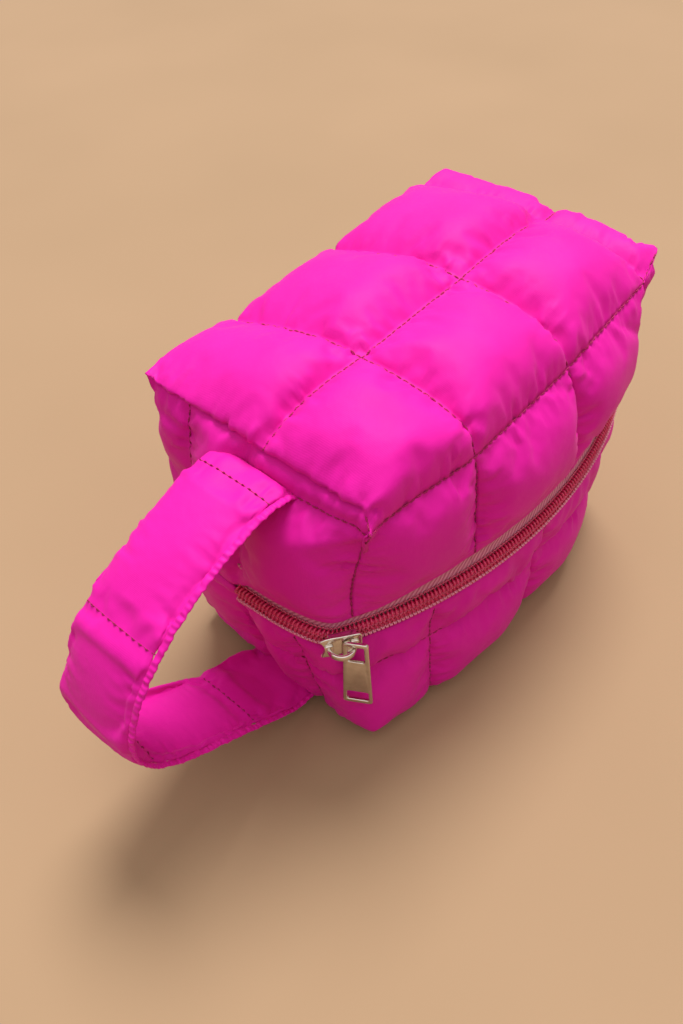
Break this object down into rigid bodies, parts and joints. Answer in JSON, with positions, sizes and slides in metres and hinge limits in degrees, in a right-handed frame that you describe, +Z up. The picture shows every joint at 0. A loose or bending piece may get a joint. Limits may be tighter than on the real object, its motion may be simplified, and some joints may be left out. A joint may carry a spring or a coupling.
{
  "type": "makeup bag",
  "caption": "Quilted padded nylon box pouch for makeup, lying on its back, with a coil zip along one long side and a padded carrying loop at one end.",
  "frame": {"origin": "centre of the panel that the bag lies on, at the height of the surface under it", "axes": "+X along the zip, from the carrying loop's end to the far end; the zip's side faces -Y; +Z up, through the upper quilted panel"},
  "size_m": [0.2318, 0.1096, 0.1266],
  "materials": {
    "nylon": "soft down-proof nylon with a low sheen, quilted in squares",
    "wadding": "loose polyester wadding",
    "lining": "thin plain-weave polyester",
    "zip_tape": "woven twill tape, dusty rose",
    "zip_coil": "moulded nylon coil",
    "thread": "twisted polyester thread",
    "nickel": "polished nickel plate on zinc",
    "binding": "folded bias tape"
  },
  "bodies": {
    "root": {"outer_upper": "nylon", "outer_lower": "nylon", "wadding_upper": "wadding", "wadding_lower": "wadding", "lining_upper": "lining", "lining_lower": "lining", "zip_tape_lower": "zip_tape", "zip_coil_lower": "zip_coil", "coil_stitching_lower": "thread", "handle_end_top": "nylon", "handle_end_bottom": "nylon", "binding_near_top": "binding", "binding_far_top": "binding", "binding_near_bottom": "binding", "binding_far_bottom": "binding", "binding_near_end": "binding", "binding_far_end": "binding", "binding_bottom_seam": "binding"},
    "lip": {"outer_lip": "nylon", "wadding_lip": "wadding", "lining_lip": "lining", "zip_tape_upper": "zip_tape", "zip_coil_upper": "zip_coil", "coil_stitching_upper": "thread"},
    "slider": {"slider_body": "nickel"},
    "puller": {"puller": "nickel"},
    "handle": {"handle_cover": "nylon", "handle_wadding": "wadding"}
  },
  "joints": [
    {"name": "zip_travel", "type": "hinge", "parent": "root", "child": "slider", "pos_m": [0.0104, 0.1182, 0.063], "axis": [0, 0, 1], "range_deg": [0, 50.1]},
    {"name": "puller_swing", "type": "hinge", "parent": "slider", "child": "puller", "pos_m": [-0.07708, -0.0425, 0.063], "axis": [-0.5948, -0.8039, 0], "range_deg": [-30, 90]},
    {"name": "mouth_opening", "type": "hinge", "parent": "root", "child": "lip", "pos_m": [0, -0.051, 0.114], "axis": [-1, 0, 0], "range_deg": [0, 40], "deforming": ["zip_tape_upper", "zip_coil_upper", "coil_stitching_upper"]},
    {"name": "handle_swing", "type": "hinge", "parent": "root", "child": "handle", "pos_m": [-0.09, -0.003, 0.063], "axis": [0, 0, 1], "range_deg": [-35, 35]}
  ],
  "couplings": [
    {"joint": "mouth_opening", "follows": "zip_travel", "ratio": 0.79}
  ]
}
